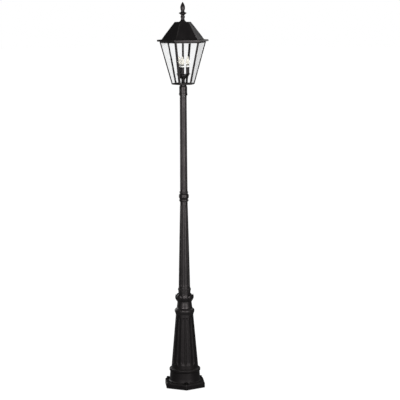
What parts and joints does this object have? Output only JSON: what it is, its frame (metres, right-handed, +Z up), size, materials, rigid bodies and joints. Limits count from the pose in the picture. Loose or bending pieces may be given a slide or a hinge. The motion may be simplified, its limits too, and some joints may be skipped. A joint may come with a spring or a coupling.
{
  "type": "street lamp post",
  "caption": "Black cast lamp post: hexagonal foot, fluted bell base, fluted two-stage shaft and a tapered hexagonal glazed lantern with candle lamps.",
  "frame": {"origin": "centre of the foot plate's underside, on the ground", "axes": "+Z up the post; a corner of the hexagonal foot points along -Y, towards the viewer"},
  "size_m": [0.4482, 0.4176, 3.3523],
  "materials": {
    "black_casting": "satin black paint on fine sand-cast texture",
    "black_sheet_metal": "satin black paint",
    "pane_glass": "clear, slightly rippled drawn glass",
    "frosted_glass": "frosted warm white",
    "porcelain": "white glaze",
    "brass": "dull",
    "cable_sheath": "matt",
    "zinc_steel": "zinc plated"
  },
  "bodies": {
    "post": {"base_plate": "black_casting", "anchor_washers": "zinc_steel", "anchor_nuts": "zinc_steel", "pipe_lock_nut": "zinc_steel", "core_pipe": "zinc_steel", "ground_screw": "brass", "foot_skirt": "black_casting", "bell": "black_casting", "bell_collar": "black_casting", "leaf_collar": "black_casting", "bead_ring": "black_casting", "lower_shaft": "black_casting", "knuckle": "black_casting", "upper_shaft": "black_casting", "top_nut": "zinc_steel", "supply_cable": "cable_sheath"},
    "lantern": {"fitter": "black_casting", "pan_screws": "zinc_steel", "bottom_pan": "black_sheet_metal", "corner_bar_1": "black_sheet_metal", "corner_bar_2": "black_sheet_metal", "corner_bar_3": "black_sheet_metal", "corner_bar_4": "black_sheet_metal", "corner_bar_5": "black_sheet_metal", "corner_bar_6": "black_sheet_metal", "top_rail": "black_sheet_metal", "pane_1": "pane_glass", "pane_2": "pane_glass", "pane_3": "pane_glass", "pane_4": "pane_glass", "pane_5": "pane_glass", "pane_6": "pane_glass", "nipple": "brass", "lock_nut": "brass", "stem": "black_sheet_metal", "cluster_bowl": "black_sheet_metal", "cluster_cover": "black_sheet_metal", "tie_rod": "black_sheet_metal", "bobeche_1": "black_sheet_metal", "bobeche_2": "black_sheet_metal", "bobeche_3": "black_sheet_metal", "candle_sleeve_1": "black_sheet_metal", "candle_sleeve_2": "black_sheet_metal", "candle_sleeve_3": "black_sheet_metal", "lampholder_1": "porcelain", "lampholder_2": "porcelain", "lampholder_3": "porcelain", "lantern_lead": "cable_sheath"},
    "lamp_1": {"bulb_glass_1": "frosted_glass", "bulb_base_1": "brass"},
    "lamp_2": {"bulb_glass_2": "frosted_glass", "bulb_base_2": "brass"},
    "lamp_3": {"bulb_glass_3": "frosted_glass", "bulb_base_3": "brass"},
    "roof": {"roof": "black_sheet_metal", "eave_flange": "black_sheet_metal"},
    "finial": {"finial": "black_sheet_metal"},
    "set_screw_1": {"set_screw_1": "zinc_steel"},
    "set_screw_2": {"set_screw_2": "zinc_steel"},
    "set_screw_3": {"set_screw_3": "zinc_steel"}
  },
  "joints": [
    {"name": "lantern_turn", "type": "hinge", "parent": "post", "child": "lantern", "pos_m": [0, 0, 2.6], "axis": [0, 0, 1], "range_deg": [-180, 180]},
    {"name": "roof_lift", "type": "slide", "parent": "lantern", "child": "roof", "axis": [0, 0, 1], "range_m": [0, 0.22]},
    {"name": "finial_turn", "type": "hinge", "parent": "roof", "child": "finial", "pos_m": [0, 0, 3.2], "axis": [0, 0, 1], "continuous": true},
    {"name": "lamp_1_turn", "type": "hinge", "parent": "lantern", "child": "lamp_1", "pos_m": [-0.00821, -0.04221, 2.818], "axis": [0, 0, 1], "continuous": true},
    {"name": "lamp_2_turn", "type": "hinge", "parent": "lantern", "child": "lamp_2", "pos_m": [0.04066, 0.014, 2.818], "axis": [0, 0, 1], "continuous": true},
    {"name": "lamp_3_turn", "type": "hinge", "parent": "lantern", "child": "lamp_3", "pos_m": [-0.03245, 0.02821, 2.818], "axis": [0, 0, 1], "continuous": true},
    {"name": "set_screw_1_run", "type": "slide", "parent": "lantern", "child": "set_screw_1", "axis": [0.1305, -0.9914, 0], "range_m": [0, 0.008]},
    {"name": "set_screw_2_run", "type": "slide", "parent": "lantern", "child": "set_screw_2", "axis": [0.7934, 0.6088, 0], "range_m": [0, 0.008]},
    {"name": "set_screw_3_run", "type": "slide", "parent": "lantern", "child": "set_screw_3", "axis": [-0.9239, 0.3827, 0], "range_m": [0, 0.008]}
  ]
}
